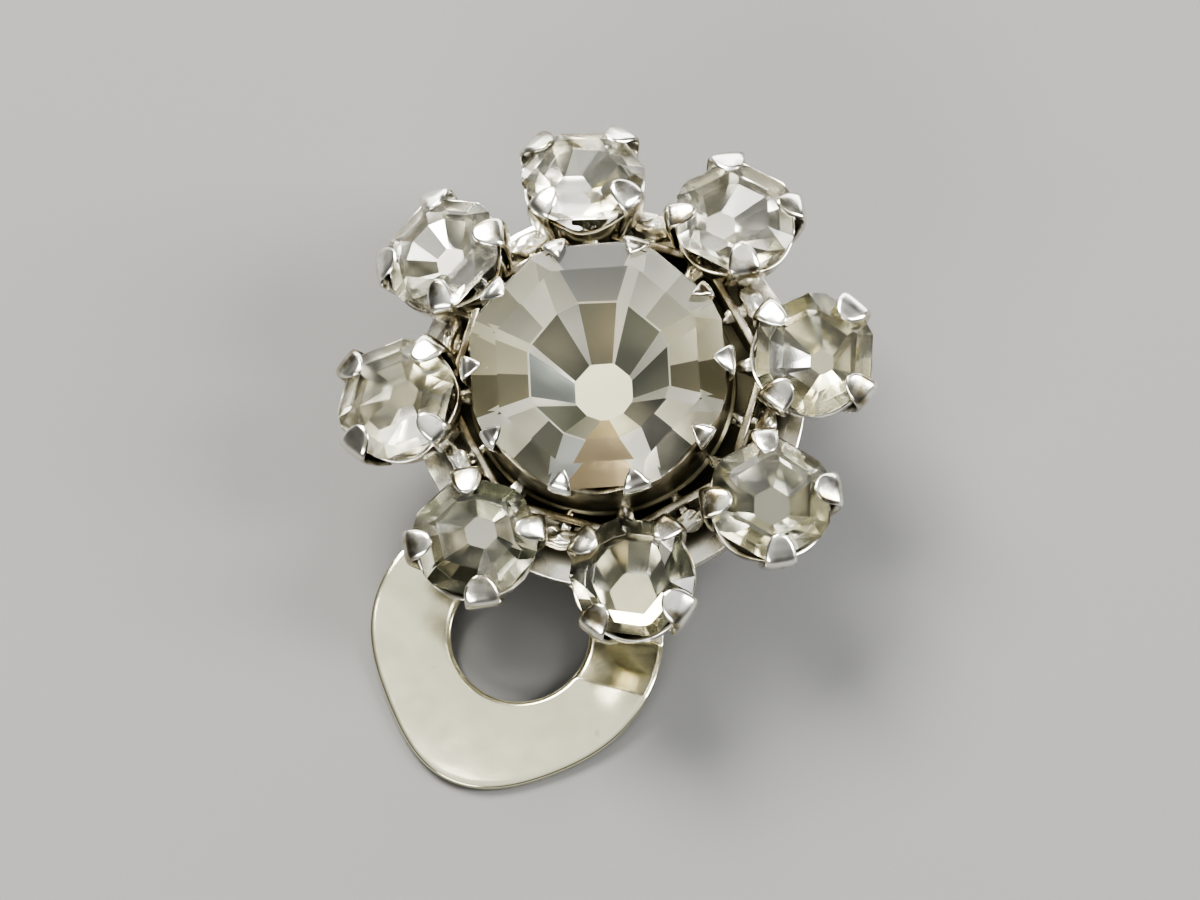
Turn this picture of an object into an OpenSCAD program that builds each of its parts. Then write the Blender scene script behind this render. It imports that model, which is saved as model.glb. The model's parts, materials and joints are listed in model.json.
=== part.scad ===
// Clip-on earring: a flower of nine foil-backed glass stones on a hinged clip.
// It lies as it rests on a table: the table is Z = 0 and the clip points along -Y.
// The clip is closed, and the flower leans forward over the clip's holed disc.

/* [Stones] */
// Diameter of the centre stone
center_d = 10; // [9.6:0.1:10]
// Diameter of each petal stone
petal_d = 4.5; // [4.3:0.05:4.5]
// Turn of the centre stone's facets
center_turn = 25; // [0:1:44]

/* [Flower] */
// Radius of the circle that the petal settings stand on
petal_ring_r = 8; // [7.9:0.05:8.1]
// Radius of the round back plate
plate_r = 7.6; // [7.4:0.1:7.8]
// Thickness of the back plate
plate_t = 0.5; // [0.4:0.05:0.5]
// Forward lean of the flower over the disc, in degrees
lean = 9.5; // [8:0.5:11]

/* [Clip] */
// Half width of the clip's disc
disc_r = 5.65; // [5.5:0.05:5.9]
// Radius of the hole in the disc
hole_r = 2.65; // [2.5:0.05:2.8]
// Distance from the hinge axis to the centre of the hole
reach = 11.5; // [11.3:0.1:11.8]
// Thickness of the sprung sheet
sheet_t = 0.4; // [0.35:0.05:0.45]
// Height of the hinge axis over the table
hinge_z = 1.6; // [1.55:0.05:1.7]
// Radius of the hinge pin
pin_r = 0.4; // [0.35:0.01:0.42]

/* [Hidden] */
// Hinge axis in the flower's own frame, whose z = 0 is the back of the plate
hinge_v = 1.8;
hinge_w = -2.6;
// Place of the hinge over the table, which centres the part on the origin
hinge_x = -0.05;
hinge_y = 5.33;
running_gap = 0.04;
seat_gap = 0.02;
// Length by which metal that is soldered or made in one runs into its neighbour
overlap = 0.1;

// Petal settings, one row each: angle round the flower, outward tilt, sideways tilt
ANGLE = 0;
OUT = 1;
SIDE = 2;
PETALS = [
    [26.8, 8, 4],
    [72.9, 13, -3],
    [117.7, 24, 2],
    [163, 22, -4],
    [207.4, 16, 4],
    [253.8, 2, -2],
    [299.2, -3, 4],
    [343.5, 6, -5],
];

// Height of the petal stones' girdles over the back of the plate
petal_w = 3.25;

// Petal setting, in its own frame: z = 0 is the underside of the cup
cup_r = 2.42;
cup_top = 2.35;
cup_floor = 0.25;
petal_girdle_z = 2.45;

// Centre setting, in the flower's frame
crown_r = 5.15;
crown_wall = 0.3;
crown_top = 4.95;
crown_prongs = 10;
crown_prong_turn = 22;
crown_foot_r = 3.9;
crown_step = 2.2;
center_girdle_z = 5.1;

// Gallery band between the crown and the petals
band_apothem = 5.8;
band_wall = 0.32;
band_top = 2.7;
band_turn = 4.8;

// Solder: a stub from the plate to each petal setting, a stub from the band to it, and
// a bead between neighbouring settings
plate_stub_at = 6.85;
plate_stub_r = 0.62;
plate_stub_h = 0.85;
band_stub_z = 1.75;
band_stub_r = 0.45;
band_stub_l = 0.8;
bead_at = 6.4;
bead_z = 2.35;
bead_r = 0.62;

// Hinge bracket on the back of the plate
bracket_w = 4.2;
bracket_t = 0.45;
bracket_back = 3.4;
ear_t = 0.45;
ear_r = 1;
ear_root = 1.5;
pin_head_r = 0.62;
pin_head_t = 0.25;
rivet_r = 0.6;
rivet_head_r = 1.05;
rivet_head_t = 0.28;

// Clip
lug_t = 0.45;
lug_r = 0.92;
lug_out = bracket_w / 2 - ear_t - 0.08;
tip_bulge = 0.9;
tip_angle = 267;

// A point at radius r, angle a and height z
function around(r, a, z) = [r * cos(a), r * sin(a), z];

// Brilliant-cut stone with an eight-sided table and a small flat culet.
// The kites on the crown and on the pavilion come out flat, because the height of
// their side corners follows from the line between their inner and outer corners.
function kite_h(r, r_in, r_mid) = (r - r_mid * cos(22.5)) / (r - r_in);

function stone_points(r, table_r, crown_h, girdle_h, pavilion_h, culet_r) =
    let (crown_mid = r * 0.75, pavilion_mid = r * 0.6)
    concat(
        [for (k = [0:7]) around(table_r, 45 * k, girdle_h + crown_h)],
        [for (k = [0:7]) around(crown_mid, 45 * k + 22.5,
                                girdle_h + crown_h * kite_h(r, table_r, crown_mid))],
        [for (j = [0:15]) around(r, 22.5 * j, girdle_h)],
        [for (j = [0:15]) around(r, 22.5 * j, 0)],
        [for (k = [0:7]) around(pavilion_mid, 45 * k + 22.5,
                                -pavilion_h * kite_h(r, culet_r, pavilion_mid))],
        [for (k = [0:7]) around(culet_r, 45 * k, -pavilion_h)]
    );

// Where each ring of points starts in the list
RING_TABLE = 0;
RING_CROWN = 8;
RING_UPPER = 16;
RING_LOWER = 32;
RING_PAVILION = 48;
RING_CULET = 56;

function of8(ring, k) = ring + (k + 8) % 8;
function of16(ring, j) = ring + (j + 16) % 16;

STONE_FACES = concat(
    [[for (k = [7:-1:0]) of8(RING_TABLE, k)]],
    [for (k = [0:7]) [of8(RING_TABLE, k), of8(RING_TABLE, k + 1), of8(RING_CROWN, k)]],
    [for (k = [0:7]) [of8(RING_TABLE, k), of8(RING_CROWN, k), of16(RING_UPPER, 2 * k),
                      of8(RING_CROWN, k - 1)]],
    [for (k = [0:7]) [of8(RING_CROWN, k), of16(RING_UPPER, 2 * k + 1),
                      of16(RING_UPPER, 2 * k)]],
    [for (k = [0:7]) [of8(RING_CROWN, k), of16(RING_UPPER, 2 * k + 2),
                      of16(RING_UPPER, 2 * k + 1)]],
    [for (j = [0:15]) [of16(RING_UPPER, j), of16(RING_UPPER, j + 1),
                       of16(RING_LOWER, j + 1), of16(RING_LOWER, j)]],
    [for (k = [0:7]) [of8(RING_PAVILION, k), of16(RING_LOWER, 2 * k),
                      of16(RING_LOWER, 2 * k + 1)]],
    [for (k = [0:7]) [of8(RING_PAVILION, k), of16(RING_LOWER, 2 * k + 1),
                      of16(RING_LOWER, 2 * k + 2)]],
    [for (k = [0:7]) [of8(RING_CULET, k), of8(RING_PAVILION, k - 1),
                      of16(RING_LOWER, 2 * k), of8(RING_PAVILION, k)]],
    [for (k = [0:7]) [of8(RING_CULET, k + 1), of8(RING_CULET, k), of8(RING_PAVILION, k)]],
    [[for (k = [0:7]) of8(RING_CULET, k)]]
);

module cut_stone(r, table_r, crown_h, girdle_h, pavilion_h, culet_r) {
    polyhedron(stone_points(r, table_r, crown_h, girdle_h, pavilion_h, culet_r), STONE_FACES);
}

// Puts children made in the flower's frame where the flower leans over the table
module in_flower() {
    translate([hinge_x, hinge_y, hinge_z])
        rotate([lean, 0, 0])
            translate([0, -hinge_v, -hinge_w])
                children();
}

// Puts children made in a petal setting's frame at row p of PETALS, x pointing outwards.
// The tilts turn the setting about the middle of its stone's girdle.
module at_petal(p) {
    rotate([0, 0, p[ANGLE]])
        translate([petal_ring_r, 0, petal_w])
            rotate([p[SIDE], p[OUT], 0])
                translate([0, 0, -petal_girdle_z])
                    children();
}

// Bends a sheet strip: its side profile is [radius, height], its plan [radius, sideways]
module bent_strip(profile, plan, w) {
    intersection() {
        rotate([90, 0, 0])
            translate([0, 0, -w / 2])
                linear_extrude(w) polygon(profile);
        linear_extrude(10) polygon(plan);
    }
}

// Stamped cup with four prongs folded over the stone's edge
module petal_setting() {
    rotate_extrude($fn = 48)
        polygon([
            [0, 0], [1.3, 0], [1.8, 0.5], [2.28, 1.55], [cup_r, cup_top],
            [cup_r - 0.2, cup_top], [2.07, 1.6], [1.6, 0.65], [1.15, cup_floor],
            [0, cup_floor],
        ]);
    for (a = [45:90:315])
        rotate([0, 0, a])
            bent_strip(
                [[2.1, 1.4], [2.32, 1.4], [2.6, 2.4], [2.6, 2.8], [2.38, 3.08], [1.66, 3.58],
                 [1.5, 3.46], [1.58, 3.26], [2.3, 2.7], [2.3, 2.3]],
                [[1.4, -0.16], [1.62, -0.42], [1.9, -0.54], [3, -0.58], [3, 0.58],
                 [1.9, 0.54], [1.62, 0.42], [1.4, 0.16]],
                1.2);
}

// Collet of the centre stone with ten small pointed prongs
module center_setting() {
    inner_r = crown_r - crown_wall;
    rotate_extrude($fn = 96)
        polygon([
            [crown_foot_r, plate_t - overlap], [crown_foot_r + 0.1, plate_t + 0.1],
            [crown_r - 0.15, crown_step - 0.1], [crown_r + 0.15, crown_step],
            [crown_r + 0.15, crown_step + 0.2], [crown_r, crown_step + 0.3],
            [crown_r, crown_top], [inner_r, crown_top], [inner_r, crown_step + 0.35],
            [crown_foot_r - crown_wall, plate_t + 0.25],
            [crown_foot_r - crown_wall, plate_t - overlap],
        ]);
    for (k = [0:crown_prongs - 1])
        rotate([0, 0, crown_prong_turn + 360 / crown_prongs * k])
            bent_strip(
                [[4.98, 4.5], [5.27, 4.5], [5.34, 5.3], [5.22, 5.56], [4.4, 6.14], [4.36, 6],
                 [5.06, 5.46], [5.06, 5]],
                [[4.3, -0.08], [5, -0.5], [5.5, -0.5], [5.5, 0.5], [5, 0.5], [4.3, 0.08]],
                1.1);
}

// Eight-sided band that the petal settings are soldered to
module gallery_band() {
    translate([0, 0, plate_t - overlap])
        rotate([0, 0, band_turn])
            linear_extrude(band_top - plate_t + overlap)
                difference() {
                    circle(r = band_apothem / cos(22.5), $fn = 8);
                    circle(r = (band_apothem - band_wall) / cos(22.5), $fn = 8);
                }
}

// Solder that joins one petal setting to the plate and to the band
module solder_seat(p) {
    rotate([0, 0, p[ANGLE]]) {
        translate([plate_stub_at, 0, plate_t - overlap])
            cylinder(r = plate_stub_r, h = plate_stub_h, $fn = 24);
        translate([band_apothem - 2 * overlap, 0, band_stub_z])
            rotate([0, 90, 0]) cylinder(r = band_stub_r, h = band_stub_l, $fn = 24);
    }
}

// Solder bead at a corner of the band, where the prongs of two settings meet
module solder_bead(k) {
    next = k == 7 ? PETALS[0][ANGLE] + 360 : PETALS[k + 1][ANGLE];
    rotate([0, 0, (PETALS[k][ANGLE] + next) / 2])
        translate([bead_at, 0, bead_z]) sphere(r = bead_r, $fn = 32);
}

module flower_frame() {
    color("silver")
        in_flower()
            difference() {
                union() {
                    cylinder(r = plate_r, h = plate_t, $fn = 96);
                    center_setting();
                    gallery_band();
                    for (p = PETALS) {
                        at_petal(p) petal_setting();
                        solder_seat(p);
                    }
                    for (k = [0:7]) solder_bead(k);
                }
                translate([0, 0, -1])
                    cylinder(r = rivet_r + seat_gap, h = plate_t + 2, $fn = 48);
            }
}

// Strip riveted under the plate, with two ears folded down round the hinge pin
// and a spring leaf folded back towards it
module clip_bracket() {
    color("gainsboro")
        in_flower()
            difference() {
                union() {
                    translate([-bracket_w / 2, -bracket_back, -seat_gap - bracket_t])
                        cube([bracket_w, bracket_back + hinge_v + ear_root, bracket_t]);
                    for (side = [-1, 1])
                        translate([side * (bracket_w - ear_t) / 2, 0, 0]) ear();
                    spring_leaf();
                }
                translate([0, 0, -1])
                    cylinder(r = rivet_r + seat_gap, h = 2, $fn = 48);
                translate([-5, hinge_v, hinge_w])
                    rotate([0, 90, 0]) cylinder(r = pin_r + seat_gap, h = 10, $fn = 48);
            }
}

module ear() {
    translate([-ear_t / 2, hinge_v, hinge_w])
        rotate([90, 0, 90])
            linear_extrude(ear_t)
                union() {
                    circle(r = ear_r, $fn = 48);
                    polygon([[-0.9, 0.1], [0.9, 0.1], [ear_root, -hinge_w - 0.2],
                             [-ear_root, -hinge_w - 0.2]]);
                }
}

module spring_leaf() {
    leaf_w = 1.7;
    rotate([90, 0, 90])
        translate([0, 0, -leaf_w / 2])
            linear_extrude(leaf_w)
                polygon([
                    [-3.2, -0.1], [-3.6, -0.2], [-3.85, -0.6], [-3.75, -1], [-3.4, -1.25],
                    [1.3, -1.95], [2.1, -1.95], [2.1, -1.75], [1.35, -1.72], [-3.3, -1],
                    [-3.5, -0.85], [-3.55, -0.6], [-3.4, -0.4], [-3.2, -0.4],
                ]);
}

// Rivet that clamps the bracket to the plate under the centre stone
module rivet() {
    color("silver")
        in_flower() {
            translate([0, 0, -bracket_t - 2 * seat_gap - rivet_head_t])
                cylinder(r = rivet_head_r, h = rivet_head_t, $fn = 48);
            translate([0, 0, -bracket_t - 2 * seat_gap - overlap])
                cylinder(r = rivet_r, h = plate_t + bracket_t + 3 * seat_gap + 2 * overlap,
                         $fn = 48);
            translate([0, 0, plate_t + seat_gap])
                cylinder(r = rivet_head_r, h = rivet_head_t, $fn = 48);
        }
}

// Pin through the ears and the clip's lugs, peened at both ends
module hinge_pin() {
    half = bracket_w / 2 + seat_gap;
    color("silver")
        translate([hinge_x, hinge_y, hinge_z])
            rotate([0, 90, 0]) {
                translate([0, 0, -half - overlap])
                    cylinder(r = pin_r, h = 2 * (half + overlap), $fn = 48);
                for (side = [-1, 1])
                    translate([0, 0, side * (half + pin_head_t / 2) - pin_head_t / 2])
                        cylinder(r = pin_head_r, h = pin_head_t, $fn = 48);
            }
}

// Side shape of the sprung sheet: distance from the hole's centre towards the hinge,
// and height of the sheet's middle. It rests on its lip, rises past a crease beside
// the hole to a wave's crest, and comes down again to the flat neck.
WAVE = [
    [-7, 0.3], [-5.8, 0.2], [-4.4, 0.24], [-3, 0.36], [-1.6, 0.52], [-0.5, 0.66],
    [0.4, 0.86], [1.5, 1.06], [2.6, 1.16], [3.8, 1.14], [5, 0.96], [6.2, 0.64],
    [7.4, 0.36], [8.4, 0.22], [9.2, 0.2], [12.8, 0.2],
];

module sheet_profile() {
    polygon(concat(
        [for (p = WAVE) [p[0], p[1] - sheet_t / 2]],
        [for (i = [len(WAVE) - 1:-1:0]) [WAVE[i][0], WAVE[i][1] + sheet_t / 2]]
    ));
}

// Outline of the sheet: the disc with its fuller tip, and the neck to the hinge
module sheet_outline() {
    polygon([
        for (a = [0:7.5:352.5])
            let (r = disc_r + tip_bulge * pow(max(0, cos(a - tip_angle)), 4))
            [r * cos(a), r * sin(a)]
    ]);
    polygon([
        [-4, 3.2], [4, 3.2], [2.6, 5.9], [lug_out, 7.6], [lug_out, reach + 0.9],
        [-lug_out, reach + 0.9], [-lug_out, 7.6], [-2.6, 5.9],
    ]);
}

// Sprung clip: a wavy disc with a round hole, its neck, and two lugs on the pin
module paddle() {
    color("whitesmoke")
        translate([hinge_x, hinge_y - reach, 0])
            difference() {
                union() {
                    intersection() {
                        rotate([90, 0, 90])
                            translate([0, 0, -8]) linear_extrude(16) sheet_profile();
                        translate([0, 0, -1]) linear_extrude(4) sheet_outline();
                    }
                    for (side = [-1, 1])
                        translate([side * (lug_out - lug_t / 2), 0, 0]) lug();
                }
                translate([0, 0, -1]) cylinder(r = hole_r, h = 4, $fn = 96);
                translate([-5, reach, hinge_z])
                    rotate([0, 90, 0]) cylinder(r = pin_r + running_gap, h = 10, $fn = 48);
            }
}

module lug() {
    translate([-lug_t / 2, reach, hinge_z])
        rotate([90, 0, 90])
            linear_extrude(lug_t)
                union() {
                    circle(r = lug_r, $fn = 48);
                    polygon([[0.85, 0.1], [-0.85, 0.1], [-2.2, -hinge_z + 0.2],
                             [0.85, -hinge_z + 0.2]]);
                }
}

module center_stone() {
    color("white")
        in_flower()
            translate([0, 0, center_girdle_z])
                rotate([0, 0, center_turn])
                    cut_stone(r = center_d / 2, table_r = center_d * 0.255, crown_h = 1.6,
                              girdle_h = 0.25, pavilion_h = 4.1, culet_r = center_d * 0.1);
}

module petal_stone(p) {
    color("white")
        in_flower()
            at_petal(p)
                translate([0, 0, petal_girdle_z])
                    cut_stone(r = petal_d / 2, table_r = petal_d * 0.27, crown_h = 0.75,
                              girdle_h = 0.15, pavilion_h = 1.85, culet_r = petal_d * 0.04);
}

flower_frame();
clip_bracket();
rivet();
hinge_pin();
paddle();
center_stone();
for (k = [0:len(PETALS) - 1])
    petal_stone(PETALS[k]);
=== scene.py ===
"""Clip-on earring: a flower of nine foil-backed glass stones on a hinged, sprung clip."""
import json
import math

import bmesh
import bpy
from mathutils import Matrix, Vector, noise
from random import Random


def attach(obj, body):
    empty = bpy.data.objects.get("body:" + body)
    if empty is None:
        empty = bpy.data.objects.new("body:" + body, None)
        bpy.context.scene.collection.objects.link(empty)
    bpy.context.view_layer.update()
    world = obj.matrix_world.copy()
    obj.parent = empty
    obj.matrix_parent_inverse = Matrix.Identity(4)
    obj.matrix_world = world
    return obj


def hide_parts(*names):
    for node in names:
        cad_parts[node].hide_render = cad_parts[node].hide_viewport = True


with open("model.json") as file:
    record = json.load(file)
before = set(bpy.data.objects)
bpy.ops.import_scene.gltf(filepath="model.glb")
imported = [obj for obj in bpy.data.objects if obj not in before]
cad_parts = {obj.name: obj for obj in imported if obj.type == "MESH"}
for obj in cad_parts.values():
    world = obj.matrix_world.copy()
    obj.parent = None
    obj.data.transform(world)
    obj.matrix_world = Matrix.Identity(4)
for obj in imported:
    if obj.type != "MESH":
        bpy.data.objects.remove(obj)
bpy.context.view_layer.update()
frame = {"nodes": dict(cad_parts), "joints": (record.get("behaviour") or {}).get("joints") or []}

# Back plate
# A round blank of silver-plated brass. Every part of the flower is soldered to its face,
# and the clip's bracket is riveted to its back through the hole in the middle.
PLATE_R = 7.6
PLATE_T = 0.5
RIVET_HOLE_R = 0.62
# Painted shade mixed with tarnish, for metal low in the flower's recesses where little light
# reaches, and its duller polish there
DEEP_SHADE_AND_TARNISH = (0.165, 0.153, 0.103)
DEEP_ROUGHNESS = 0.5
MM = 0.001
hinge = Vector(frame["joints"][0]["pos_m"])
flower_lean = math.radians(9.5)
# The flower's own frame is in millimetres, with z = 0 on the back of the plate
hinge_in_flower = Vector((0, 1.8, -2.6))
flower_place = (
    Matrix.Translation(hinge) @ Matrix.Rotation(flower_lean, 4, "X")
    @ Matrix.Scale(MM, 4) @ Matrix.Translation(-hinge_in_flower)
)


def softened(outline, radius, steps=3):
    """The closed outline with each corner replaced by a short curve."""
    soft = []
    for i, corner in enumerate(outline):
        corner = Vector(corner)
        before, after = Vector(outline[i - 1]), Vector(outline[(i + 1) % len(outline)])
        cut = min(radius, (before - corner).length * 0.45, (after - corner).length * 0.45)
        start = corner + (before - corner).normalized() * cut
        end = corner + (after - corner).normalized() * cut
        for k in range(steps + 1):
            t = k / steps
            soft.append(start * (1 - t) ** 2 + corner * 2 * t * (1 - t) + end * t ** 2)
    return soft


def turned(outline, steps, shape=lambda a, r, z: (r, z)):
    """The closed outline of (radius, height) points turned round the axis."""
    bm = bmesh.new()
    rings = []
    for i in range(steps):
        a = 2 * math.pi * i / steps
        ring = []
        for r, z in outline:
            r, z = shape(a, r, z)
            ring.append(bm.verts.new((r * math.cos(a), r * math.sin(a), z)))
        rings.append(ring)
    n = len(outline)
    for i in range(steps):
        one, two = rings[i], rings[(i + 1) % steps]
        for j in range(n):
            bm.faces.new((one[j], two[j], two[(j + 1) % n], one[(j + 1) % n]))
    bmesh.ops.remove_doubles(bm, verts=bm.verts, dist=1e-5)
    return bm


def mesh_of(name, bm):
    """The mesh that a finished shape becomes."""
    mesh = bpy.data.meshes.new(name)
    bm.to_mesh(mesh)
    bm.free()
    return mesh


def made_piece(name, bm, place, material, body, smooth=35):
    """A finished piece whose place is in its mesh, riding on its body. Its edges are crisp
    where they turn by more than smooth degrees."""
    bm.transform(place)
    bmesh.ops.recalc_face_normals(bm, faces=bm.faces)
    mesh = mesh_of(name, bm)
    mesh.shade_smooth()
    mesh.set_sharp_from_angle(angle=math.radians(smooth))
    mesh.materials.append(material)
    piece = bpy.data.objects.new(name, mesh)
    bpy.context.scene.collection.objects.link(piece)
    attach(piece, body)
    return piece


def new_material(name):
    """A plain material, with its nodes, its links and its shader."""
    material = bpy.data.materials.new(name)
    material.use_nodes = True
    nodes = material.node_tree.nodes
    return material, nodes, material.node_tree.links, nodes["Principled BSDF"]


def metal_finish(name, bright, dull, tarnish, roughness, grain, wear, dents=0.35, deep=None,
                 rim=None):
    """Plated metal: bright where it is rubbed, duller and stained in broad patches, with
    fine scratches along the grain and the low waves of stamped sheet. In the flower's frame
    it carries painted shade mixed with tarnish, full at the first height of deep and gone at
    the second, and gone all the same where it lies further out than rim."""
    material, nodes, links, shader = new_material(name)
    shader.inputs["Metallic"].default_value = 1
    place = nodes.new("ShaderNodeTexCoord")

    def cloud(scale, detail=3.0, stretch=(1, 1, 1)):
        spread = nodes.new("ShaderNodeMapping")
        spread.inputs["Scale"].default_value = stretch
        links.new(place.outputs["Object"], spread.inputs["Vector"])
        texture = nodes.new("ShaderNodeTexNoise")
        texture.inputs["Scale"].default_value = scale
        texture.inputs["Detail"].default_value = detail
        links.new(spread.outputs["Vector"], texture.inputs["Vector"])
        return texture.outputs["Fac"]

    def ramp(source, low, high, dark, light):
        curve = nodes.new("ShaderNodeValToRGB")
        curve.color_ramp.elements[0].position = low
        curve.color_ramp.elements[0].color = (*dark, 1)
        curve.color_ramp.elements[1].position = high
        curve.color_ramp.elements[1].color = (*light, 1)
        links.new(source, curve.inputs["Fac"])
        return curve.outputs["Color"]

    patches = ramp(cloud(scale=420), 0.35, 0.65, dull, bright)
    stains = ramp(cloud(scale=900, detail=5), wear, wear + 0.16, (1, 1, 1), (0, 0, 0))
    mix = nodes.new("ShaderNodeMix")
    mix.data_type = "RGBA"
    links.new(stains, mix.inputs["Factor"])
    links.new(patches, mix.inputs["A"])
    mix.inputs["B"].default_value = (*tarnish, 1)
    colour = mix.outputs["Result"]
    rough = nodes.new("ShaderNodeMapRange")
    links.new(cloud(scale=1300, detail=4), rough.inputs["Value"])
    rough.inputs["From Min"].default_value = 0.3
    rough.inputs["From Max"].default_value = 0.7
    rough.inputs["To Min"].default_value = roughness[0]
    rough.inputs["To Max"].default_value = roughness[1]
    polish = rough.outputs["Result"]
    # Painted shade mixed with tarnish: darker and duller low in the flower, by height along its
    # axis
    if deep:
        local = nodes.new("ShaderNodeMapping")
        local.vector_type = "TEXTURE"
        local.inputs["Location"].default_value = flower_place.translation
        local.inputs["Rotation"].default_value = (flower_lean, 0, 0)
        local.inputs["Scale"].default_value = (MM, MM, MM)
        links.new(place.outputs["Object"], local.inputs["Vector"])
        axes = nodes.new("ShaderNodeSeparateXYZ")
        links.new(local.outputs["Vector"], axes.inputs["Vector"])
        height = nodes.new("ShaderNodeMapRange")
        height.interpolation_type = "SMOOTHSTEP"
        height.inputs["From Min"].default_value, height.inputs["From Max"].default_value = deep
        links.new(axes.outputs["Z"], height.inputs["Value"])
        lit_and_clean = height.outputs["Result"]
        if rim:
            flat = nodes.new("ShaderNodeVectorMath")
            flat.operation = "MULTIPLY"
            flat.inputs[1].default_value = (1, 1, 0)
            links.new(local.outputs["Vector"], flat.inputs[0])
            out = nodes.new("ShaderNodeVectorMath")
            out.operation = "LENGTH"
            links.new(flat.outputs["Vector"], out.inputs[0])
            edge = nodes.new("ShaderNodeMapRange")
            edge.interpolation_type = "SMOOTHSTEP"
            edge.inputs["From Min"].default_value, edge.inputs["From Max"].default_value = rim
            links.new(out.outputs["Value"], edge.inputs["Value"])
            either = nodes.new("ShaderNodeMath")
            either.operation = "MAXIMUM"
            links.new(lit_and_clean, either.inputs[0])
            links.new(edge.outputs["Result"], either.inputs[1])
            lit_and_clean = either.outputs["Value"]
        reach = nodes.new("ShaderNodeMix")
        reach.data_type = "RGBA"
        links.new(lit_and_clean, reach.inputs["Factor"])
        reach.inputs["A"].default_value = (*DEEP_SHADE_AND_TARNISH, 1)
        links.new(colour, reach.inputs["B"])
        colour = reach.outputs["Result"]
        dulled = nodes.new("ShaderNodeMix")
        links.new(lit_and_clean, dulled.inputs["Factor"])
        dulled.inputs["A"].default_value = DEEP_ROUGHNESS
        links.new(polish, dulled.inputs["B"])
        polish = dulled.outputs["Result"]
    links.new(colour, shader.inputs["Base Color"])
    links.new(polish, shader.inputs["Roughness"])

    waves = nodes.new("ShaderNodeBump")
    waves.inputs["Strength"].default_value = dents
    waves.inputs["Distance"].default_value = 0.06 * MM
    links.new(cloud(scale=700, detail=1), waves.inputs["Height"])
    scratches = nodes.new("ShaderNodeBump")
    scratches.inputs["Strength"].default_value = 0.12
    scratches.inputs["Distance"].default_value = 0.01 * MM
    links.new(cloud(scale=2600, detail=6, stretch=grain), scratches.inputs["Height"])
    links.new(waves.outputs["Normal"], scratches.inputs["Normal"])
    links.new(scratches.outputs["Normal"], shader.inputs["Normal"])
    return material


# Its face carries painted shade mixed with tarnish where the flower shades it; its back and open
# rim stay bright
plate_silver = metal_finish(
    "plate_silver", bright=(0.95, 0.93, 0.87), dull=(0.78, 0.75, 0.67),
    tarnish=(0.34, 0.30, 0.22), roughness=(0.16, 0.3), grain=(1, 1, 1), wear=0.28,
    deep=(0.48, 0.3), rim=(6.5, 7.1))
plate_edge = softened([(RIVET_HOLE_R, 0), (PLATE_R, 0), (PLATE_R, PLATE_T),
                       (RIVET_HOLE_R, PLATE_T)], radius=0.1)
back_plate = made_piece("back_plate", turned(plate_edge, steps=128), flower_place,
                        plate_silver, "flower")
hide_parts("flower_frame")

# Gallery band
# A strip of plated brass bent into eight sides and stood on edge round the middle.
# The inner walls of the petal settings are soldered to its flats.
BAND_APOTHEM = 5.8
BAND_WALL = 0.32
BAND_TOP = 2.7
BAND_TURN = math.radians(4.8)
# Half of the angle that a bent corner takes up, in radians
BAND_CORNER = 0.05
# How far the parts that are soldered to the plate run into its face
SUNK = 0.05
band_foot = PLATE_T - SUNK


def band_shape(a, r, z):
    """Turns the round band into an octagon with eased corners."""
    side = math.pi / 4
    off_middle = abs((a - BAND_TURN + side / 2) % side - side / 2)
    return r / math.cos(min(off_middle, side / 2 - BAND_CORNER)), z


band_section = softened([(BAND_APOTHEM - BAND_WALL, band_foot), (BAND_APOTHEM, band_foot),
                         (BAND_APOTHEM, BAND_TOP), (BAND_APOTHEM - BAND_WALL, BAND_TOP)],
                        radius=0.09)
# A darker copy of the plating, partly tarnish and partly painted shade for the recess it stands
# in; painted shade mixed with tarnish also deepens towards its foot
band_silver = metal_finish(
    "band_silver", bright=(0.80, 0.76, 0.66), dull=(0.50, 0.45, 0.35),
    tarnish=(0.17, 0.14, 0.09), roughness=(0.14, 0.3), grain=(1, 1, 3), wear=0.4,
    deep=(0.9, 3.4))
gallery_band = made_piece("gallery_band", turned(band_section, steps=160, shape=band_shape),
                          flower_place, band_silver, "flower")
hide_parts("flower_frame")

# Centre setting
# A collet stamped from plated brass, with a stepped foot, and ten small pointed claws on
# its rim that are bent over the edge of the big stone. It is soldered inside the band.
CROWN_R = 4.86
CROWN_TOP = 4.95
CROWN_CLAWS = 10
CROWN_CLAW_TURN = math.radians(22)
# How deep the rim dips between two claws
RIM_DIP = 0.3
# The collet was soldered a little off the middle
crown_place = flower_place @ Matrix.Translation((-0.08, -0.2, 0))
collet_section = softened([
    (3.9, PLATE_T - SUNK), (4.0, PLATE_T + 0.12), (4.9, 2.08), (5.16, 2.16), (5.16, 2.42),
    (4.96, 2.52), (CROWN_R, CROWN_TOP), (CROWN_R - 0.22, CROWN_TOP),
    (CROWN_R - 0.28, 2.6), (3.6, PLATE_T + 0.25), (3.6, PLATE_T - SUNK)], radius=0.07)


def collet_shape(a, r, z):
    """Dips the collet's rim between its claws."""
    between = 0.5 - 0.5 * math.cos(CROWN_CLAWS * (a - CROWN_CLAW_TURN))
    at_rim = z > CROWN_TOP - 0.5
    return r, z - (RIM_DIP * between ** 2 if at_rim else 0)


def spline(points, steps):
    """A smooth curve through the points, whatever their number of values."""
    points = [Vector(p) for p in points]
    ends = [2 * points[0] - points[1]] + points + [2 * points[-1] - points[-2]]
    curve = []
    for i in range(len(points) - 1):
        p0, p1, p2, p3 = ends[i:i + 4]
        for k in range(steps):
            t = k / steps
            curve.append(0.5 * (2 * p1 + (p2 - p0) * t + (2 * p0 - 5 * p1 + 4 * p2 - p3) * t ** 2
                                + (3 * p1 - p0 - 3 * p2 + p3) * t ** 3))
    return curve + [points[-1]]


# How round a claw's sides are, at most 1, and how full its inner face is next to its outer
CLAW_SIDE_ROUND = 0.8
CLAW_INNER_SHARE = 0.7


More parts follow.
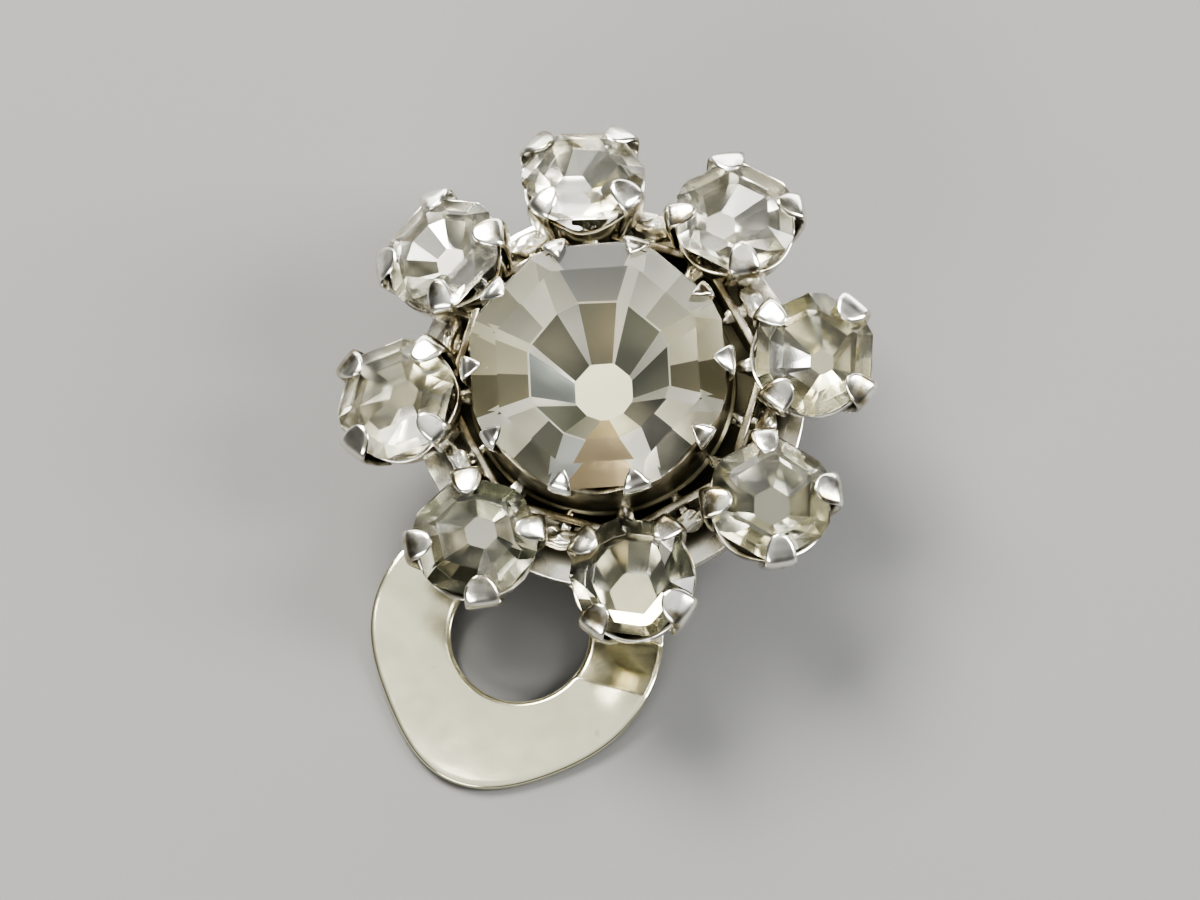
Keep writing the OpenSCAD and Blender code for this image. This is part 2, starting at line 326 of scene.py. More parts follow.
def claw_mesh(name, stations, flat=1.0, steps=5, sides=14):
    """A claw standing at +X. A station is (radius, height, half width, half thickness), and
    the lower flat is, the flatter are its faces."""
    rail = spline(stations, steps)
    bm = bmesh.new()
    rings = []
    for i, station in enumerate(rail):
        before, after = rail[max(i - 1, 0)], rail[min(i + 1, len(rail) - 1)]
        along = Vector((after[0] - before[0], after[1] - before[1])).normalized()
        out = Vector((along[1], -along[0]))
        ring = []
        for k in range(sides):
            turn = 2 * math.pi * k / sides
            across = math.copysign(abs(math.cos(turn)) ** CLAW_SIDE_ROUND, math.cos(turn))
            through = math.copysign(abs(math.sin(turn)) ** flat, math.sin(turn))
            through *= 1 if through > 0 else CLAW_INNER_SHARE
            r = station[0] + out[0] * through * station[3]
            z = station[1] + out[1] * through * station[3]
            ring.append(bm.verts.new((r, across * station[2], z)))
        rings.append(ring)
    for one, two in zip(rings, rings[1:]):
        for k in range(sides):
            bm.faces.new((one[k], one[(k + 1) % sides], two[(k + 1) % sides], two[k]))
    bm.faces.new(rings[0])
    bm.faces.new(list(reversed(rings[-1])))
    bmesh.ops.recalc_face_normals(bm, faces=bm.faces)
    return mesh_of(name, bm)


def ring_of_copies(name):
    """Nodes that stand Count copies of Part round the Z axis, starting at Turn, each bent
    and spread a little differently by hand, as Uneven says."""
    tree = bpy.data.node_groups.new(name, "GeometryNodeTree")
    face = tree.interface
    face.new_socket("Geometry", in_out="INPUT", socket_type="NodeSocketGeometry")
    face.new_socket("Part", in_out="INPUT", socket_type="NodeSocketObject")
    face.new_socket("Count", in_out="INPUT", socket_type="NodeSocketInt")
    face.new_socket("Turn", in_out="INPUT", socket_type="NodeSocketFloat")
    face.new_socket("Uneven", in_out="INPUT", socket_type="NodeSocketFloat")
    face.new_socket("Finish", in_out="INPUT", socket_type="NodeSocketMaterial")
    face.new_socket("Geometry", in_out="OUTPUT", socket_type="NodeSocketGeometry")
    nodes, links = tree.nodes, tree.links
    given = nodes.new("NodeGroupInput")
    part = nodes.new("GeometryNodeObjectInfo")
    links.new(given.outputs["Part"], part.inputs["Object"])
    seats = nodes.new("GeometryNodePoints")
    links.new(given.outputs["Count"], seats.inputs["Count"])
    index = nodes.new("GeometryNodeInputIndex")
    share = nodes.new("ShaderNodeMath")
    share.operation = "DIVIDE"
    links.new(index.outputs["Index"], share.inputs[0])
    links.new(given.outputs["Count"], share.inputs[1])
    turn = nodes.new("ShaderNodeMath")
    turn.operation = "MULTIPLY_ADD"
    links.new(share.outputs["Value"], turn.inputs[0])
    turn.inputs[1].default_value = 2 * math.pi
    links.new(given.outputs["Turn"], turn.inputs[2])
    # How far a copy may stray at an Uneven of 1: in its turn, and in its share of width
    stray = nodes.new("FunctionNodeRandomValue")
    stray.data_type = "FLOAT_VECTOR"
    stray.inputs["Min"].default_value = (-0.12, -1.2, 0)
    stray.inputs["Max"].default_value = (0.12, 1.2, 0)
    stray.inputs["Seed"].default_value = 4
    strays = nodes.new("ShaderNodeSeparateXYZ")
    links.new(stray.outputs["Value"], strays.inputs["Vector"])
    off = nodes.new("ShaderNodeMath")
    off.operation = "MULTIPLY_ADD"
    links.new(strays.outputs["X"], off.inputs[0])
    links.new(given.outputs["Uneven"], off.inputs[1])
    links.new(turn.outputs["Value"], off.inputs[2])
    spin = nodes.new("ShaderNodeCombineXYZ")
    links.new(off.outputs["Value"], spin.inputs["Z"])
    width = nodes.new("ShaderNodeMath")
    width.operation = "MULTIPLY_ADD"
    links.new(strays.outputs["Y"], width.inputs[0])
    links.new(given.outputs["Uneven"], width.inputs[1])
    width.inputs[2].default_value = 1
    spread = nodes.new("ShaderNodeCombineXYZ")
    spread.inputs["X"].default_value = 1
    spread.inputs["Z"].default_value = 1
    links.new(width.outputs["Value"], spread.inputs["Y"])
    stand = nodes.new("GeometryNodeInstanceOnPoints")
    links.new(seats.outputs["Points"], stand.inputs["Points"])
    links.new(part.outputs["Geometry"], stand.inputs["Instance"])
    links.new(spin.outputs["Vector"], stand.inputs["Rotation"])
    links.new(spread.outputs["Vector"], stand.inputs["Scale"])
    real = nodes.new("GeometryNodeRealizeInstances")
    links.new(stand.outputs["Instances"], real.inputs["Geometry"])
    paint = nodes.new("GeometryNodeSetMaterial")
    links.new(real.outputs["Geometry"], paint.inputs["Geometry"])
    links.new(given.outputs["Finish"], paint.inputs["Material"])
    join = nodes.new("NodeGroupOutput")
    links.new(paint.outputs["Geometry"], join.inputs["Geometry"])
    return tree


def grown(tree, start, inputs):
    """The plain mesh that a tree of nodes makes on the start mesh with these inputs."""
    carrier = bpy.data.objects.new("carrier", start)
    bpy.context.scene.collection.objects.link(carrier)
    modifier = carrier.modifiers.new("nodes", "NODES")
    modifier.node_group = tree
    for item in tree.interface.items_tree:
        if item.in_out == "INPUT" and item.name in inputs:
            modifier[item.identifier] = inputs[item.name]
    bpy.context.view_layer.update()
    made = bpy.data.meshes.new_from_object(
        carrier.evaluated_get(bpy.context.evaluated_depsgraph_get()))
    carrier.modifiers.remove(modifier)
    bpy.data.objects.remove(carrier)
    return made


def stock(mesh):
    """An object outside the scene that holds a mesh for the nodes to copy."""
    return bpy.data.objects.new(mesh.name, mesh)


def add_claws(setting, claws):
    """Adds claws to the setting that they belong to, with its second material."""
    faces = len(setting.faces)
    setting.from_mesh(claws)
    setting.faces.ensure_lookup_table()
    for face in setting.faces[faces:]:
        face.material_index = 1


copies_round = ring_of_copies("copies_round")
crown_claw = claw_mesh("crown_claw", [
    (4.84, 4.3, 0.5, 0.1), (4.94, 4.7, 0.52, 0.11), (5.06, 5.05, 0.52, 0.11),
    (5.12, 5.34, 0.49, 0.11), (5.02, 5.54, 0.45, 0.11), (4.79, 5.67, 0.34, 0.1),
    (4.56, 5.82, 0.19, 0.09), (4.4, 5.92, 0.04, 0.05)])
# A darker copy of the plating, partly tarnish and partly painted shade for the recess it sits
# in; painted shade mixed with tarnish also deepens towards its foot
collet_silver = metal_finish(
    "collet_silver", bright=(0.70, 0.66, 0.54), dull=(0.46, 0.41, 0.30),
    tarnish=(0.20, 0.17, 0.11), roughness=(0.24, 0.38), grain=(1, 1, 3), wear=0.4,
    deep=(1.6, 5.2))
claw_silver = metal_finish(
    "claw_silver", bright=(0.95, 0.94, 0.89), dull=(0.80, 0.78, 0.70),
    tarnish=(0.33, 0.29, 0.20), roughness=(0.17, 0.28), grain=(1, 1, 1), wear=0.34,
    dents=0.8)
crown_claws = grown(copies_round, bpy.data.meshes.new("seed"), {
    "Part": stock(crown_claw), "Count": CROWN_CLAWS, "Turn": CROWN_CLAW_TURN,
    "Uneven": 0.22, "Finish": claw_silver})
collet = turned(collet_section, steps=240, shape=collet_shape)
add_claws(collet, crown_claws)
center_setting = made_piece("center_setting", collet, crown_place, collet_silver, "flower",
                            smooth=40)
center_setting.data.materials.append(claw_silver)
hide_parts("flower_frame")

# Petal settings
# Eight cups stamped from plated brass, each with four claws folded over its stone. They
# were bent outwards by hand after soldering, so no two of them lean alike.
PETAL_RING_R = 8.0
# Height of a petal stone's girdle above the plate's back, and above the foot of its cup
PETAL_GIRDLE_W = 3.25
CUP_GIRDLE_Z = 2.45
# Cup and claws are drawn for a stone of 4.6 mm, and opened by this to hold one of 4.8 mm
SETTING_SCALE = 1.045
CUP_CLAWS = 4
# How deep a cup's rim dips between two claws, and from where up its wall over what height
CUP_DIP = 0.34
CUP_DIP_FOOT = 1.2
CUP_DIP_RUN = 1.1
# How far the hand bending pushed cups and claws out of true
CUP_WOBBLE = 0.16
# Angle round the flower, outward lean and sideways lean, in degrees
PETALS = [(26.8, 8, 4), (72.9, 13, -3), (117.7, 24, 2), (163.0, 22, -4),
          (207.4, 16, 4), (253.8, 2, -2), (299.2, -3, 4), (343.5, 6, -5)]
cup_fit = Matrix.Scale(SETTING_SCALE, 4) @ Matrix.Translation((0, 0, -CUP_GIRDLE_Z))
cup_section = softened([
    (0, 0), (1.3, 0), (1.8, 0.5), (2.16, 1.4), (2.26, 2.2), (2.1, 2.22), (1.98, 1.6),
    (1.6, 0.65), (1.15, 0.25), (0, 0.25)], radius=0.06)
# Painted shade mixed with tarnish darkens the cups towards their feet
setting_silver = metal_finish(
    "setting_silver", bright=(0.93, 0.91, 0.85), dull=(0.70, 0.66, 0.56),
    tarnish=(0.24, 0.21, 0.14), roughness=(0.12, 0.24), grain=(1, 1, 3), wear=0.34,
    deep=(0.4, 3.3))


def cup_shape(a, r, z):
    """Scallops the cup's rim between its claws."""
    between = 0.5 + 0.5 * math.cos(CUP_CLAWS * a)
    return r, z - CUP_DIP * between * max(0, (z - CUP_DIP_FOOT) / CUP_DIP_RUN)


cup = turned(cup_section, steps=96, shape=cup_shape)
bmesh.ops.recalc_face_normals(cup, faces=cup.faces)
cup.transform(cup_fit)
petal_cup = mesh_of("petal_cup", cup)
petal_claw = claw_mesh("petal_claw", [
    (2.02, 0.9, 0.6, 0.1), (2.24, 1.5, 0.62, 0.12), (2.4, 2.05, 0.62, 0.13),
    (2.5, 2.5, 0.6, 0.13), (2.43, 2.82, 0.58, 0.13), (2.16, 3.0, 0.55, 0.12),
    (1.86, 3.12, 0.46, 0.11), (1.62, 3.22, 0.28, 0.09), (1.52, 3.27, 0.06, 0.03)], flat=0.75)
petal_claws = grown(copies_round, bpy.data.meshes.new("seed"), {
    "Part": stock(petal_claw), "Count": CUP_CLAWS, "Turn": math.pi / CUP_CLAWS,
    "Uneven": 0.12, "Finish": claw_silver})
petal_claws.transform(cup_fit)


def copies_on_petals(name):
    """Nodes that stand a copy of Part at each petal, leaning as it does, and make each
    copy a little uneven by Wobble."""
    tree = bpy.data.node_groups.new(name, "GeometryNodeTree")
    face = tree.interface
    face.new_socket("Geometry", in_out="INPUT", socket_type="NodeSocketGeometry")
    face.new_socket("Part", in_out="INPUT", socket_type="NodeSocketObject")
    face.new_socket("Wobble", in_out="INPUT", socket_type="NodeSocketFloat")
    face.new_socket("Finish", in_out="INPUT", socket_type="NodeSocketMaterial")
    face.new_socket("Geometry", in_out="OUTPUT", socket_type="NodeSocketGeometry")
    nodes, links = tree.nodes, tree.links
    given = nodes.new("NodeGroupInput")
    part = nodes.new("GeometryNodeObjectInfo")
    links.new(given.outputs["Part"], part.inputs["Object"])
    lean = nodes.new("GeometryNodeInputNamedAttribute")
    lean.data_type = "FLOAT_VECTOR"
    lean.inputs["Name"].default_value = "lean"
    seats = nodes.new("GeometryNodeMeshToPoints")
    links.new(given.outputs["Geometry"], seats.inputs["Mesh"])
    stand = nodes.new("GeometryNodeInstanceOnPoints")
    links.new(seats.outputs["Points"], stand.inputs["Points"])
    links.new(part.outputs["Geometry"], stand.inputs["Instance"])
    links.new(lean.outputs["Attribute"], stand.inputs["Rotation"])
    real = nodes.new("GeometryNodeRealizeInstances")
    links.new(stand.outputs["Instances"], real.inputs["Geometry"])
    bumps = nodes.new("ShaderNodeTexNoise")
    bumps.inputs["Scale"].default_value = 0.55
    bumps.inputs["Detail"].default_value = 1
    middle = nodes.new("ShaderNodeVectorMath")
    middle.operation = "SUBTRACT"
    middle.inputs[1].default_value = (0.5, 0.5, 0.5)
    links.new(bumps.outputs["Color"], middle.inputs[0])
    amount = nodes.new("ShaderNodeVectorMath")
    amount.operation = "SCALE"
    links.new(middle.outputs["Vector"], amount.inputs[0])
    links.new(given.outputs["Wobble"], amount.inputs["Scale"])
    shift = nodes.new("GeometryNodeSetPosition")
    links.new(real.outputs["Geometry"], shift.inputs["Geometry"])
    links.new(amount.outputs["Vector"], shift.inputs["Offset"])
    paint = nodes.new("GeometryNodeSetMaterial")
    links.new(shift.outputs["Geometry"], paint.inputs["Geometry"])
    links.new(given.outputs["Finish"], paint.inputs["Material"])
    join = nodes.new("NodeGroupOutput")
    links.new(paint.outputs["Geometry"], join.inputs["Geometry"])
    return tree


def petal_seats():
    """A point at the middle of each petal stone's girdle, with its lean."""
    seats = bpy.data.meshes.new("petal_seats")
    turns = [math.radians(p[0]) for p in PETALS]
    seats.from_pydata([(PETAL_RING_R * math.cos(a), PETAL_RING_R * math.sin(a), PETAL_GIRDLE_W)
                       for a in turns], [], [])
    lean = seats.attributes.new("lean", "FLOAT_VECTOR", "POINT")
    for slot, (around, out, side) in zip(lean.data, PETALS):
        slot.vector = [math.radians(v) for v in (side, out, around)]
    return seats


on_petals = copies_on_petals("on_petals")
cups = bmesh.new()
cups.from_mesh(grown(on_petals, petal_seats(), {
    "Part": stock(petal_cup), "Wobble": CUP_WOBBLE, "Finish": setting_silver}))
add_claws(cups, grown(on_petals, petal_seats(), {
    "Part": stock(petal_claws), "Wobble": CUP_WOBBLE, "Finish": claw_silver}))
petal_settings = made_piece("petal_settings", cups, flower_place, setting_silver, "flower",
                            smooth=45)
petal_settings.data.materials.append(claw_silver)
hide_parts("flower_frame")

# Solder
# Stubs and beads of soft solder that run between the cups, the band and the plate. It
# flowed bright, has greyed in patches, and carries painted shade mixed with tarnish low down.
SOLDER_SEED = 7
# Shares by which the coarse and the fine unevenness swell a lump
SOLDER_SAG = 0.42
SOLDER_RIPPLE = 0.14
# Lumps at each cup, and lumps between it and the next cup: distance from the flower's
# middle, height, and half lengths outwards, sideways and up
CUP_SOLDER = [(6.85, 0.9, (0.62, 0.7, 0.62)), (5.75, 2.5, (0.72, 0.34, 0.34))]
GAP_SOLDER = [(6.35, 2.3, (0.42, 0.86, 0.4)), (5.6, 2.2, (0.7, 0.3, 0.3))]


def blob(bm, centre, radii, turn):
    """A lump of solder, pulled uneven as it set."""
    place = Matrix.Translation(centre) @ Matrix.Rotation(turn, 4, "Z")
    lump = bmesh.ops.create_icosphere(bm, subdivisions=4, radius=1)
    for v in lump["verts"]:
        spot = v.co * 1.3 + Vector(centre) + Vector((SOLDER_SEED, 0, 0))
        uneven = 1 + SOLDER_SAG * noise.noise(spot) + SOLDER_RIPPLE * noise.noise(spot * 2.3)
        v.co = place @ Vector([c * r * uneven for c, r in zip(v.co, radii)])


solder = bmesh.new()
arounds = [petal[0] for petal in PETALS]
for around, ahead in zip(arounds, arounds[1:] + [arounds[0] + 360]):
    at_cup = math.radians(around)
    at_gap = (at_cup + math.radians(ahead)) / 2
    for turn, lumps in ((at_cup, CUP_SOLDER), (at_gap, GAP_SOLDER)):
        for out, height, radii in lumps:
            blob(solder, (out * math.cos(turn), out * math.sin(turn), height), radii, turn)
# Painted shade mixed with tarnish darkens the lumps low down between the parts
solder_silver = metal_finish(
    "solder_silver", bright=(0.94, 0.93, 0.88), dull=(0.66, 0.63, 0.54),
    tarnish=(0.20, 0.17, 0.11), roughness=(0.2, 0.36), grain=(1, 1, 1), wear=0.36,
    deep=(1.1, 2.6))
solder_piece = made_piece("solder", solder, flower_place, solder_silver, "flower", smooth=80)
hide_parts("flower_frame")

# Stones
# Machine-cut glass with a flat table and a flat culet, held by the claws. The pavilion is
# silvered with a satin foil, so each of its flats sends light back out of the crown as one
# even tone, and that tone is painted into the foil flat by flat as painted reflection and shade.
CENTER_R = 5.0
CENTER_GIRDLE_W = 5.1
CENTER_TURN = math.radians(25)
# The big stone's culet was ground off the axis: its shift in the stone's own frame
CENTER_SKEW = (0.1, -0.6)
# Share of a culet's shift that the table has too
TABLE_SHARE = 0.35
# Shares of a segment that the sliver after it takes up at the crown's edge and at the
# girdle's foot
CROWN_GAP = 0.27
GIRDLE_GAP = 0.12
# Share of the pavilion's outer flats that the painted bright line at the waist leaves free
LINE_SHARE = 0.965
# Painted tones of the foil behind a flat, standing in for the reflections and shade it
# shows: how much red, green and blue it sends back
PAINTED_FACET_TONES = {
    "white": (1.0, 1.0, 0.97), "cream": (0.94, 0.92, 0.79), "pearl": (0.67, 0.65, 0.51),
    "ice": (0.43, 0.455, 0.50), "fog": (0.58, 0.58, 0.53), "sage": (0.44, 0.46, 0.38),
    "beige": (0.50, 0.41, 0.28), "dusk": (0.40, 0.40, 0.345), "smoke": (0.27, 0.275, 0.24),
    "slate": (0.29, 0.315, 0.325), "flint": (0.22, 0.22, 0.19), "coal": (0.13, 0.13, 0.125),
    "umber": (0.25, 0.235, 0.18), "mist": (0.78, 0.81, 0.82)}
# A row is for one segment of the big stone, from its right round by the top: the flat at
# the culet, the two halves of the flat at the girdle, the two flats of the sliver after it,
# and that sliver's share of a segment at the culet and at the waist. The tones are painted
# reflections and shade.
CENTER_CUTS = [
    ("smoke", "umber", "cream", "white", "cream", 0.24, 0.3),
    ("smoke", "fog", "white", "white", "white", 0.1, 0.22),
    ("smoke", "ice", "ice", "mist", "white", 0.1, 0.42),
    ("flint", "white", "fog", "white", "cream", 0.1, 0.16),
    ("slate", "pearl", "umber", "white", "white", 0.12, 0.2),
    ("smoke", "cream", "flint", "fog", "mist", 0.66, 0.4),
    ("beige", "beige", "beige", "fog", "white", 0.66, 0.42),
    ("coal", "coal", "cream", "white", "white", 0.2, 0.24)]


def cut_stone(bm, r, table_r, crown_h, girdle_h, pavilion_h, culet_r, waist, skew, place,
              cuts, culet_tone):
    """A stone whose glass crown has slot 0 and whose foiled pavilion has slot 1. A segment
    for each row of cuts stands round the table, with a sliver between each two. The waist,
    a radius and a depth, is where the pavilion's inner flats meet its outer ones, along a
    narrow line of flats painted white as a highlight."""
    tone = bm.faces.layers.float_vector.new("tone")
    count = len(cuts)
    half = math.pi / count
    middles = [2 * half * k for k in range(count)]
    culet_gaps = [row[5] for row in cuts]
    waist_gaps = [row[6] for row in cuts]

    def ends(gaps):
        """Angles of both ends of each segment, with these gaps after the segments."""
        angles = []
        for k, a in enumerate(middles):
            angles += [a - half * (1 - gaps[k - 1]), a + half * (1 - gaps[k])]
        return angles

    def ring(radius, z, angles, shift=0.0):
        return [bm.verts.new(place @ Vector((radius * math.cos(a) + shift * skew[0],
                                             radius * math.sin(a) + shift * skew[1], z)))
                for a in angles]

    line_r = r - (r - waist[0]) * LINE_SHARE
    line_z = -waist[1] * LINE_SHARE
    table = ring(table_r, girdle_h + crown_h, [a + half for a in middles], TABLE_SHARE)
    upper = ring(r, girdle_h, ends([CROWN_GAP] * count))
    lower = ring(r, 0, ends([GIRDLE_GAP] * count))
    lower_mid = ring(r * math.cos(half * (1 - GIRDLE_GAP)), 0, middles)
    line = ring(line_r, line_z, ends(waist_gaps))
    line_mid = [bm.verts.new((line[2 * k].co + line[2 * k + 1].co) / 2) for k in range(count)]
    middle = ring(waist[0], -waist[1], ends(waist_gaps))
    culet = ring(culet_r, -pavilion_h, ends(culet_gaps), 1)

    def facet(verts, foil=None):
        """A glass facet, or one with a painted tone of foil behind it."""
        face = bm.faces.new(verts)
        face.material_index = 1 if foil else 0
        face[tone] = PAINTED_FACET_TONES[foil or "white"]

    facet(table)
    facet(list(reversed(culet)), culet_tone)
    for k, (inner, first, second, sliver, sliver_end) in enumerate(row[:5] for row in cuts):
        a, b, c = 2 * k, 2 * k + 1, (2 * k + 2) % (2 * count)
        facet((table[k - 1], upper[a], upper[b], table[k]))
        facet((table[k], upper[b], upper[c]))
        facet((upper[a], lower[a], lower_mid[k], lower[b], upper[b]))
        facet((upper[b], lower[b], lower[c], upper[c]))
        facet((culet[a], culet[b], middle[b], middle[a]), inner)
        # Painted highlight: the flats along the waist line are white unless they carry on the
        # inner flat's tone
        facet((middle[a], middle[b], line[b], line_mid[k], line[a]),
              inner if inner == first else "white")
        facet((line[a], line_mid[k], lower_mid[k], lower[a]), first)
        facet((line_mid[k], line[b], lower[b], lower_mid[k]), second)
        facet((culet[b], culet[c], middle[c], middle[b]), sliver)
        # Painted highlight: the sliver's flat at the waist is white
        facet((middle[b], middle[c], line[c], line[b]), "white")
        facet((line[b], line[c], lower[c], lower[b]), sliver_end)


def glass_finish(name, tint, haze, ior):
    """Clear cut glass with a trace of colour and a faintly uneven hand-rubbed polish."""
    material, nodes, links, shader = new_material(name)
    shader.inputs["Transmission Weight"].default_value = 1
    shader.inputs["IOR"].default_value = ior
    place = nodes.new("ShaderNodeTexCoord")
    cloud = nodes.new("ShaderNodeTexNoise")
    cloud.inputs["Scale"].default_value = 500
    links.new(place.outputs["Object"], cloud.inputs["Vector"])
    colour = nodes.new("ShaderNodeValToRGB")
    colour.color_ramp.elements[0].color = (*tint, 1)
    colour.color_ramp.elements[1].color = (1, 1, 0.985, 1)
    links.new(cloud.outputs["Fac"], colour.inputs["Fac"])
    links.new(colour.outputs["Color"], shader.inputs["Base Color"])
    rough = nodes.new("ShaderNodeMapRange")
    rough.inputs["To Min"].default_value = 0
    rough.inputs["To Max"].default_value = haze
    links.new(cloud.outputs["Fac"], rough.inputs["Value"])
    links.new(rough.outputs["Result"], shader.inputs["Roughness"])
    return material


def foil_finish(name, roughness):
    """Silvering that takes each flat's painted tone, standing in for its reflections and shade,
    and has yellowed in small clouds.
    """
    material, nodes, links, shader = new_material(name)
    shader.inputs["Metallic"].default_value = 1
    tone = nodes.new("ShaderNodeAttribute")
    tone.attribute_name = "tone"
    place = nodes.new("ShaderNodeTexCoord")
    cloud = nodes.new("ShaderNodeTexNoise")
    cloud.inputs["Scale"].default_value = 260
    links.new(place.outputs["Object"], cloud.inputs["Vector"])
    yellow = nodes.new("ShaderNodeMix")
    yellow.data_type = "RGBA"
    yellow.blend_type = "MULTIPLY"
    yellow.inputs["B"].default_value = (0.97, 0.94, 0.87, 1)
    links.new(cloud.outputs["Fac"], yellow.inputs["Factor"])
    links.new(tone.outputs["Color"], yellow.inputs["A"])
    links.new(yellow.outputs["Result"], shader.inputs["Base Color"])
    rough = nodes.new("ShaderNodeMapRange")
    rough.inputs["To Min"].default_value = roughness[0]
    rough.inputs["To Max"].default_value = roughness[1]
    links.new(cloud.outputs["Fac"], rough.inputs["Value"])
    links.new(rough.outputs["Result"], shader.inputs["Roughness"])
    return material


stone_glass = glass_finish("stone_glass", tint=(0.95, 0.95, 0.92), haze=0.01, ior=1.48)
big_foil = foil_finish("big_foil", roughness=(0.28, 0.38))
small_foil = foil_finish("small_foil", roughness=(0.13, 0.23))


def stone_piece(name, bm, place, foil, node):
    """A set stone, with crisp facets."""
    piece = made_piece(name, bm, place, stone_glass, "flower")
    piece.data.materials.append(foil)
    piece.data.shade_flat()
    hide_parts(node)


big_stone = bmesh.new()
big_seat = Matrix.Translation((0, 0, CENTER_GIRDLE_W)) @ Matrix.Rotation(CENTER_TURN, 4, "Z")
cut_stone(big_stone, r=CENTER_R, table_r=4.1, crown_h=0.78, girdle_h=0.25, pavilion_h=2.6,
          culet_r=1.15, waist=(2.75, 1.3), skew=CENTER_SKEW, place=big_seat, cuts=CENTER_CUTS,
          culet_tone="pearl")
stone_piece("center_stone_cut", big_stone, crown_place, big_foil, "center_stone")

PETAL_R = 2.4
PETAL_SEGMENTS = 6
PETAL_SEED = 20
# The small stones were cut less evenly: how far a culet may lie off the middle, the range
# of its radius, and a sliver's share of a segment at the culet and, as a range, at the waist
PETAL_SKEW = 0.45
PETAL_CULET_R = (0.45, 0.9)
PETAL_CULET_GAP = 0.14
PETAL_WAIST_GAP = (0.15, 0.5)
# Sets of painted tones, standing in for reflections and shade, that the small stones' flats draw
# from
BRIGHT = ["white", "white", "white", "cream"]
MIXED = ["white", "white", "cream", "pearl", "fog"]
DULL = ["white", "white", "cream", "fog", "sage", "smoke"]
BROWN = ["white", "fog", "dusk", "smoke", "umber"]
# The painted tone of each small stone's culet and the painted tones round it, in the order of
# PETALS
PETAL_TONES = [("pearl", MIXED), ("white", BRIGHT), ("white", BRIGHT), ("white", BRIGHT),
               ("pearl", BRIGHT), ("fog", DULL), ("pearl", BROWN), ("dusk", MIXED)]
for k, ((around, out, side), (culet_tone, choice)) in enumerate(zip(PETALS, PETAL_TONES)):
    chance = Random(PETAL_SEED + k)
    seat = (Matrix.Rotation(math.radians(around), 4, "Z")
            @ Matrix.Translation((PETAL_RING_R, 0, PETAL_GIRDLE_W))
            @ Matrix.Rotation(math.radians(out), 4, "Y")
            @ Matrix.Rotation(math.radians(side), 4, "X")
            @ Matrix.Rotation(chance.uniform(0, 1), 4, "Z"))
    cuts = []
    for segment in range(PETAL_SEGMENTS):
        flat, half_flat, sliver = chance.choices(choice, k=3)
        cuts.append((flat, flat, half_flat, sliver, sliver, PETAL_CULET_GAP,
                     chance.uniform(*PETAL_WAIST_GAP)))
    skew = (chance.uniform(-PETAL_SKEW, PETAL_SKEW), chance.uniform(-PETAL_SKEW, PETAL_SKEW))
    culet_r = chance.uniform(*PETAL_CULET_R)
    small_stone = bmesh.new()
    cut_stone(small_stone, r=PETAL_R, table_r=1.6, crown_h=0.65, girdle_h=0.15,
              pavilion_h=1.2, culet_r=culet_r, waist=(1.55, 0.62), skew=skew, place=seat,
              cuts=cuts, culet_tone=culet_tone)
    stone_piece(f"petal_stone_cut_{k + 1}", small_stone, flower_place, small_foil,
                f"petal_stone_{k + 1}")

# Bracket, rivet and hinge pin
# A stamped strip of plated steel whose two ears fold down round the pin, clamped to the
# plate by a rivet. A leaf of the same strip folds back and presses on the clip.
EDGE_EASE = 0.04 * MM
# Edges that turn by more than this, in radians, are eased
CRISP_TURN = 0.6
bracket_steel = metal_finish(
    "bracket_steel", bright=(0.80, 0.78, 0.72), dull=(0.62, 0.59, 0.52),
    tarnish=(0.28, 0.24, 0.16), roughness=(0.2, 0.36), grain=(1, 5, 1), wear=0.3)
for node in ("clip_bracket", "rivet", "hinge_pin"):
    bm = bmesh.new()
    bm.from_mesh(frame["nodes"][node].data)
    bmesh.ops.remove_doubles(bm, verts=bm.verts, dist=1e-7)
    bmesh.ops.dissolve_limit(bm, angle_limit=math.radians(1), verts=bm.verts, edges=bm.edges)
    crisp = [e for e in bm.edges
             if len(e.link_faces) == 2 and e.calc_face_angle() > CRISP_TURN]
    bmesh.ops.bevel(bm, geom=crisp, offset=EDGE_EASE, segments=2, profile=0.6,
                    affect="EDGES", clamp_overlap=True)
    piece = made_piece(f"{node}_finished", bm, Matrix.Identity(4), bracket_steel, "flower")
    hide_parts(node)

# Clip
# A wavy disc of sprung sheet with a round hole, which presses on the lobe. Its neck runs
# back under the flower to two lugs on the hinge pin. It is left satin from the barrel.
DISC_R = 5.56
HOLE_R = 2.65
SHEET_T = 0.4
# Distance from the hinge's axis to the middle of the hole
REACH = 11.5
# How far in from its edges the sheet begins to roll over
EDGE_ROLL = 0.2
# How far the disc swells and in which direction in degrees, and how narrow a swelling is
SWELLS = [(0.82, 268), (0.3, 186)]
SWELL_POWER = 8
# A bend crosses the hole's right edge this much nearer to the tip than the hole's middle,
# at a slant. Beyond it the sheet runs level until it lies the drop below the wave, and then
# rises back to it. The bend fades out towards the left over the last width.
BEND_AT = 0.86
BEND_SLANT = 0.12
LEVEL_RUN = 2.2
LEVEL_DROP = 0.5
RISE_RUN = 1.6
BEND_FADE = 4
# Distance from the middle of the hole towards the hinge, and height of the sheet's middle
WAVE = [(-7, 0.3), (-5.8, 0.2), (-4.4, 0.24), (-3, 0.36), (-1.6, 0.52), (-0.5, 0.66),
        (0.4, 0.86), (1.5, 1.06), (2.6, 1.16), (3.8, 1.14), (5, 0.96), (6.2, 0.64),
        (7.4, 0.36), (8.4, 0.22), (9.2, 0.2), (12.8, 0.2)]
LUG_OUT = 1.57
LUG_T = 0.45
LUG_R = 0.92
LUG_EDGE = 0.08
PIN_HOLE_R = 0.44
# Each lug's foot, which runs down into the neck
LUG_FOOT = [(0.85, 0.1), (-0.85, 0.1), (-2.2, -1.4), (0.85, -1.4)]
